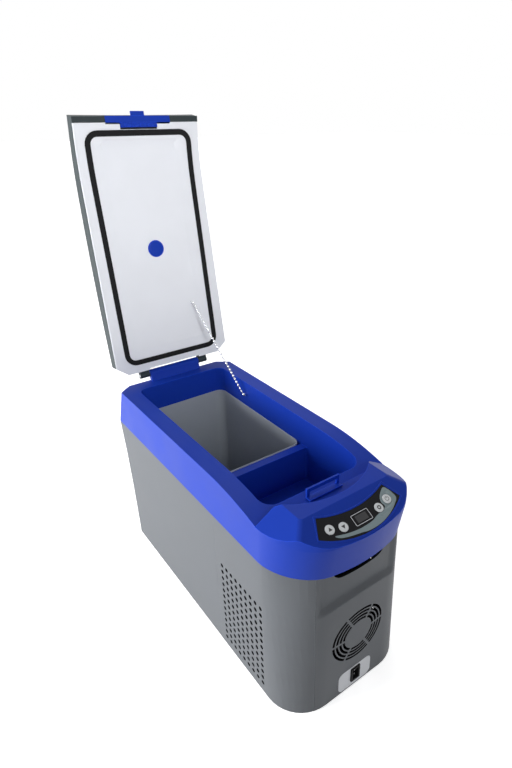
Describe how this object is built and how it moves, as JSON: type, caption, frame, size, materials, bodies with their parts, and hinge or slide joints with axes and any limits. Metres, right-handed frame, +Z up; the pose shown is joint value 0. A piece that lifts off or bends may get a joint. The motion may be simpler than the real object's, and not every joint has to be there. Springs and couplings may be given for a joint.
{
  "type": "compressor cooler fridge",
  "caption": "Narrow chest style compressor fridge for a vehicle, blue collar, rear hinged lid open, side tray, sloping button console.",
  "frame": {"origin": "on the flat underside, on the plane of symmetry, below the front third of the food bay", "axes": "+X to the user's right facing the console, -Y towards the console and fan panel, +Z up"},
  "size_m": [0.237, 0.6364, 0.8119],
  "materials": {
    "cabinet_grey": "satin moulded",
    "collar_blue": "satin",
    "lid_dark": "satin moulded",
    "liner_white": "gloss",
    "liner_grey": "satin",
    "black_rubber": "matt",
    "black_plastic": "satin",
    "button_white": "gloss",
    "plate_pale": "satin",
    "window_dark": "polished",
    "chrome_metal": "polished",
    "sheet_metal": "mill",
    "copper_pipe": "drawn",
    "compressor_black": "gloss",
    "foam_fill": "matt",
    "board_green": "satin"
  },
  "bodies": {
    "cabinet": {"cabinet_shell": "cabinet_grey", "insulation_foam": "foam_fill", "evaporator_sheet": "sheet_metal", "inner_liner": "liner_grey", "machine_housing": "cabinet_grey", "front_panel": "cabinet_grey", "grip_pocket": "black_plastic", "top_collar": "collar_blue", "socket_plate": "plate_pale", "power_inlet": "black_plastic", "inlet_pin_upper": "chrome_metal", "inlet_pin_lower": "chrome_metal", "compressor": "compressor_black", "condenser": "sheet_metal", "fan_frame": "black_plastic", "drive_box": "black_plastic", "filter_drier": "copper_pipe", "discharge_pipe": "copper_pipe", "suction_pipe": "copper_pipe", "power_loom": "black_plastic", "control_bezel": "black_plastic", "display_window": "window_dark", "console_board": "board_green", "lid_catch": "collar_blue", "hinge_block": "collar_blue", "hinge_pin": "chrome_metal", "chain_eyelet_cabinet": "chrome_metal", "stay_chain": "chrome_metal", "foot_front_left": "black_rubber", "foot_front_right": "black_rubber", "foot_rear_left": "black_rubber", "foot_rear_right": "black_rubber", "compressor_grommet_1": "black_rubber", "compressor_grommet_2": "black_rubber", "compressor_grommet_3": "black_rubber", "compressor_grommet_4": "black_rubber"},
    "lid": {"lid_shell": "lid_dark", "lid_foam": "foam_fill", "lid_liner": "liner_white", "lid_gasket": "black_rubber", "lid_badge": "collar_blue", "chain_eyelet_lid": "chrome_metal", "latch_pin": "chrome_metal"},
    "latch": {"lid_latch": "collar_blue"},
    "fan": {"fan_rotor": "black_plastic"},
    "button_up": {"button_up": "button_white"},
    "button_down": {"button_down": "button_white"},
    "button_set": {"button_set": "button_white"},
    "button_power": {"button_power": "button_white"}
  },
  "joints": [
    {"name": "lid_hinge", "type": "hinge", "parent": "cabinet", "child": "lid", "pos_m": [0, 0.283, 0.35], "axis": [1, 0, 0], "range_deg": [0, 98], "deforming": ["stay_chain"]},
    {"name": "latch_pivot", "type": "hinge", "parent": "lid", "child": "latch", "pos_m": [0, 0.33064, 0.79672], "axis": [1, 0, 0], "range_deg": [0, 15], "stiffness_Nm_per_rad": 0.6, "springref_deg": -5.73},
    {"name": "fan_spin", "type": "hinge", "parent": "cabinet", "child": "fan", "pos_m": [0, -0.2273, 0.1176], "axis": [0, 1, 0], "continuous": true},
    {"name": "button_up_press", "type": "slide", "parent": "cabinet", "child": "button_up", "axis": [0, 0.4587, -0.8886], "range_m": [0, 0.0008], "stiffness_N_per_m": 900, "springref_m": -0.0003},
    {"name": "button_down_press", "type": "slide", "parent": "cabinet", "child": "button_down", "axis": [0, 0.4587, -0.8886], "range_m": [0, 0.0008], "stiffness_N_per_m": 900, "springref_m": -0.0003},
    {"name": "button_set_press", "type": "slide", "parent": "cabinet", "child": "button_set", "axis": [0, 0.4587, -0.8886], "range_m": [0, 0.0008], "stiffness_N_per_m": 900, "springref_m": -0.0003},
    {"name": "button_power_press", "type": "slide", "parent": "cabinet", "child": "button_power", "axis": [0, 0.4587, -0.8886], "range_m": [0, 0.0008], "stiffness_N_per_m": 900, "springref_m": -0.0003}
  ]
}
